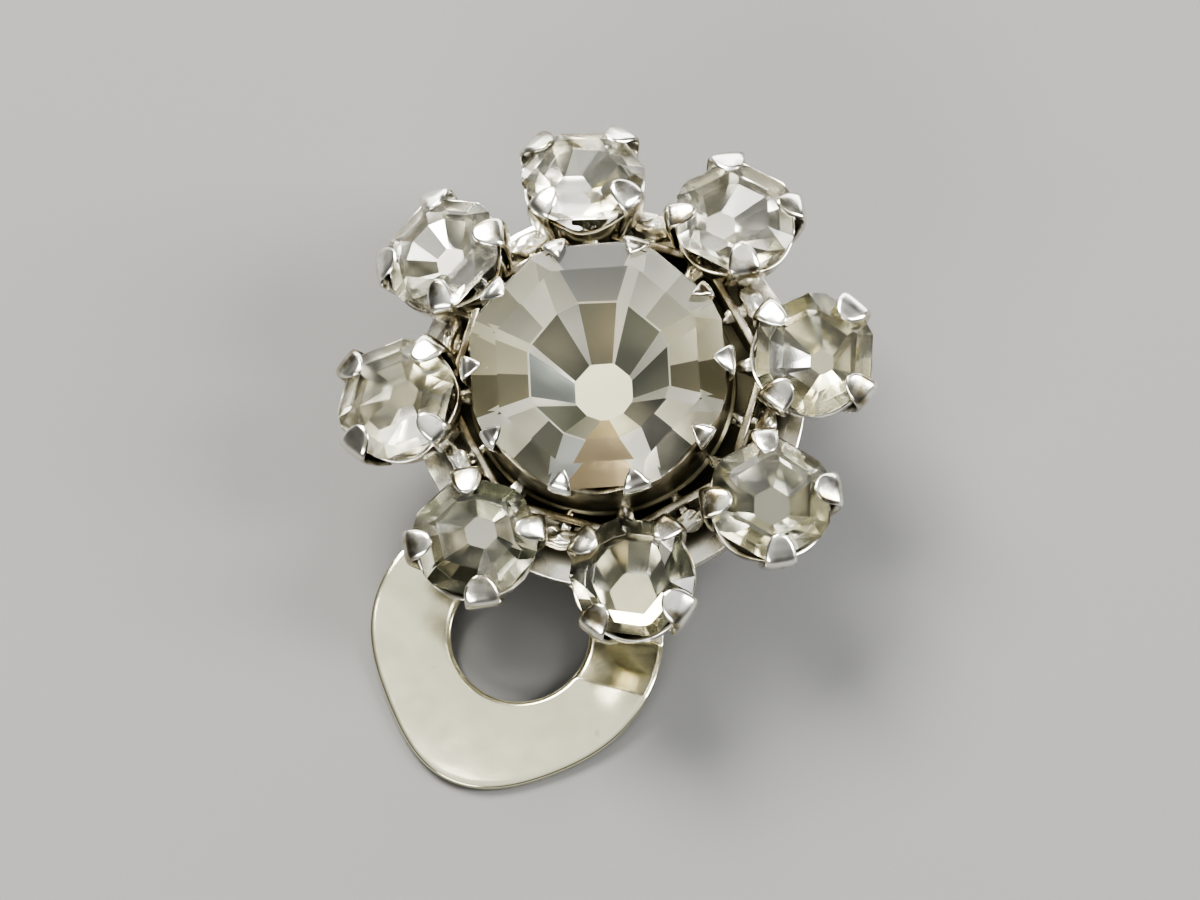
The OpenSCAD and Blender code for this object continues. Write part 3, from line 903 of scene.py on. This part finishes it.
# The neck, from inside the disc to the lugs
NECK = [(-4, 3.2), (4, 3.2), (2.6, 5.9), (LUG_OUT, 7.6), (LUG_OUT, 12.4), (-LUG_OUT, 12.4),
        (-LUG_OUT, 7.6), (-2.6, 5.9)]
clip_place = Matrix.Translation((hinge.x, hinge.y - REACH * MM, 0)) @ Matrix.Scale(MM, 4)
wave_line = spline(WAVE, 8)


def wave_height(y):
    """Height of the sheet's middle at a distance from the hole's centre."""
    for (y0, z0), (y1, z1) in zip(wave_line, wave_line[1:]):
        if y <= y1:
            return z0 + (z1 - z0) * (y - y0) / (y1 - y0)
    return wave_line[-1][1]


def reach_of(polygon, a):
    """Distance from the origin to the polygon's far side in the direction a."""
    way = Vector((math.cos(a), math.sin(a)))
    far = 0
    for p, q in zip(polygon, polygon[1:] + polygon[:1]):
        p, q = Vector(p), Vector(q)
        side = q - p
        cross = way.x * side.y - way.y * side.x
        if abs(cross) > 1e-9:
            t = (p.x * side.y - p.y * side.x) / cross
            s = (p.x * way.y - p.y * way.x) / cross
            if t > 0 and -1e-6 <= s <= 1 + 1e-6:
                far = max(far, t)
    return far


def holed_sheet(outline, hole_r, thickness, height, rings, steps, edge):
    """A sheet round a hole, out to outline(angle). Its edges roll over within edge."""
    # Share of edge from the rim inwards, and share of the thickness there
    roll = [(0, 0.45), (0.1, 0.72), (0.3, 0.86), (1, 1)]
    bm = bmesh.new()
    columns = []
    for i in range(steps):
        a = 2 * math.pi * i / steps
        far = outline(a)
        stops = [(hole_r + edge * s, h) for s, h in roll]
        inner, outer = hole_r + edge, far - edge
        stops += [(inner + (outer - inner) * j / rings, 1) for j in range(1, rings)]
        stops += [(far - edge * s, h) for s, h in reversed(roll)]
        column = []
        for sign in (1, -1):
            row = []
            for r, full in stops:
                x, y = r * math.cos(a), r * math.sin(a)
                z = height(x, y) + sign * full * thickness / 2
                row.append(bm.verts.new((x, y, z)))
            column.append(row)
        columns.append(column[0] + column[1][::-1])
    n = len(columns[0])
    for i in range(steps):
        one, two = columns[i], columns[(i + 1) % steps]
        for j in range(n):
            bm.faces.new((one[j], one[(j + 1) % n], two[(j + 1) % n], two[j]))
    return bm


def disc_outline(a):
    """Outline of the disc, fuller at its tip and on one side, and of the neck."""
    swell = sum(h * max(0, math.cos(a - math.radians(at))) ** SWELL_POWER for h, at in SWELLS)
    return max(DISC_R + swell, reach_of(NECK, a))


def disc_height(x, y):
    """The wave, with a bend beside the hole beyond which the sheet runs level for a while."""
    past = y + BEND_AT - BEND_SLANT * (x - HOLE_R)
    back_up = 1 - (past - LEVEL_RUN) / RISE_RUN
    on_right = min(1, max(0, 0.5 + x / BEND_FADE))
    return wave_height(y) - LEVEL_DROP * on_right * max(0, min(past / LEVEL_RUN, back_up))


def lug_outline(a):
    """Outline of a lug, round at the pin, with its foot."""
    return max(LUG_R, reach_of(LUG_FOOT, a))


paddle = holed_sheet(disc_outline, HOLE_R, SHEET_T, disc_height, rings=36, steps=360,
                     edge=EDGE_ROLL)
# Turns a lug's pin hole from Z to X
on_edge = Matrix(((0, 0, 1, 0), (1, 0, 0, 0), (0, 1, 0, 0), (0, 0, 0, 1)))
for side in (-1, 1):
    lug = holed_sheet(lug_outline, PIN_HOLE_R, LUG_T, lambda x, y: 0, rings=6, steps=96,
                      edge=LUG_EDGE)
    lug_seat = Matrix.Translation((side * (LUG_OUT - LUG_T / 2), REACH, hinge.z / MM))
    lug.transform(lug_seat @ on_edge)
    paddle.from_mesh(mesh_of("lug", lug))
clip_satin = metal_finish(
    "clip_satin", bright=(0.86, 0.83, 0.65), dull=(0.78, 0.755, 0.58),
    tarnish=(0.5, 0.46, 0.36), roughness=(0.14, 0.18), grain=(6, 1, 1), wear=0.14,
    dents=0.0)
clip_disc = made_piece("clip_disc", paddle, clip_place, clip_satin, "clip", smooth=50)
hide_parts("paddle")

# Studio
# A pale sweep of paper under broad soft light, with the room left dim so that the metal
# and the facets have something dark to show.
FLOOR_SIZE = 4.0
# The room's brightness at each height: 0 is the horizon, 1 is straight above
ROOM_LIGHT = [(0.0, 0.34), (0.24, 0.1), (0.6, 0.1), (0.8, 0.42), (1.0, 1.0)]
# Share of blue in the room's grey
ROOM_BLUE = 0.97
# What every light faces
FLOWER_MIDDLE = Vector((0, 0, 0.008))
floor_mesh = bpy.data.meshes.new("studio_floor")
half = FLOOR_SIZE / 2
floor_mesh.from_pydata([(-half, -half, 0), (half, -half, 0), (half, half, 0), (-half, half, 0)],
                       [], [(0, 1, 2, 3)])
floor = bpy.data.objects.new("studio_floor", floor_mesh)
bpy.context.scene.collection.objects.link(floor)
paper, _, _, paper_shader = new_material("studio_paper")
paper_shader.inputs["Base Color"].default_value = (0.21, 0.21, 0.207, 1)
paper_shader.inputs["Roughness"].default_value = 0.8
floor_mesh.materials.append(paper)

world = bpy.data.worlds.new("studio_room")
bpy.context.scene.world = world
world.use_nodes = True
sky, sky_links = world.node_tree.nodes, world.node_tree.links
way = sky.new("ShaderNodeTexCoord")
parts = sky.new("ShaderNodeSeparateXYZ")
sky_links.new(way.outputs["Generated"], parts.inputs["Vector"])
ceiling = sky.new("ShaderNodeValToRGB")
stops = ceiling.color_ramp.elements
for height, _ in ROOM_LIGHT[1:-1]:
    stops.new(height)
for stop, (height, grey) in zip(stops, ROOM_LIGHT):
    stop.color = (grey, grey, grey * ROOM_BLUE, 1)
sky_links.new(parts.outputs["Z"], ceiling.inputs["Fac"])
sky_links.new(ceiling.outputs["Color"], sky["Background"].inputs["Color"])
sky["Background"].inputs["Strength"].default_value = 0.9


def softbox(name, place, size, power, colour=(1, 1, 1)):
    """A rectangular light that faces the flower."""
    data = bpy.data.lights.new(name, "AREA")
    data.shape = "RECTANGLE"
    data.size, data.size_y = size
    data.energy = power
    data.color = colour
    light = bpy.data.objects.new(name, data)
    light.location = place
    away = Vector(place) - FLOWER_MIDDLE
    light.rotation_euler = away.to_track_quat("Z", "Y").to_euler()
    bpy.context.scene.collection.objects.link(light)


softbox("key_box", (-0.3, 0.22, 0.45), size=(0.3, 0.3), power=5.5, colour=(1, 0.975, 0.92))
softbox("side_box", (0.45, 0.15, 0.35), size=(0.16, 0.4), power=3.2)
softbox("front_box", (-0.05, -0.5, 0.3), size=(0.4, 0.12), power=1.6)
softbox("back_card", (-0.1, 0.45, 0.12), size=(0.9, 0.2), power=1.7)

# Camera
# The photograph's own angle on the earring, through a long lens and drawn in closer along
# the same line.
AZIMUTH = math.radians(22)
ELEVATION = math.radians(66)
DISTANCE = 0.19
aim = Vector((0.00086, -0.00015, 0.0066))
back = Vector((math.sin(AZIMUTH) * math.cos(ELEVATION),
               -math.cos(AZIMUTH) * math.cos(ELEVATION), math.sin(ELEVATION)))
bpy.context.scene.view_settings.look = "AgX - High Contrast"
camera = bpy.data.objects.new("camera", bpy.data.cameras.new("camera"))
camera.data.lens = 150
camera.data.sensor_width = 36
camera.data.clip_start = 0.01
camera.location = aim + back * DISTANCE
camera.rotation_mode = "QUATERNION"
camera.rotation_quaternion = back.to_track_quat("Z", "Y")
bpy.context.scene.collection.objects.link(camera)
bpy.context.scene.camera = camera
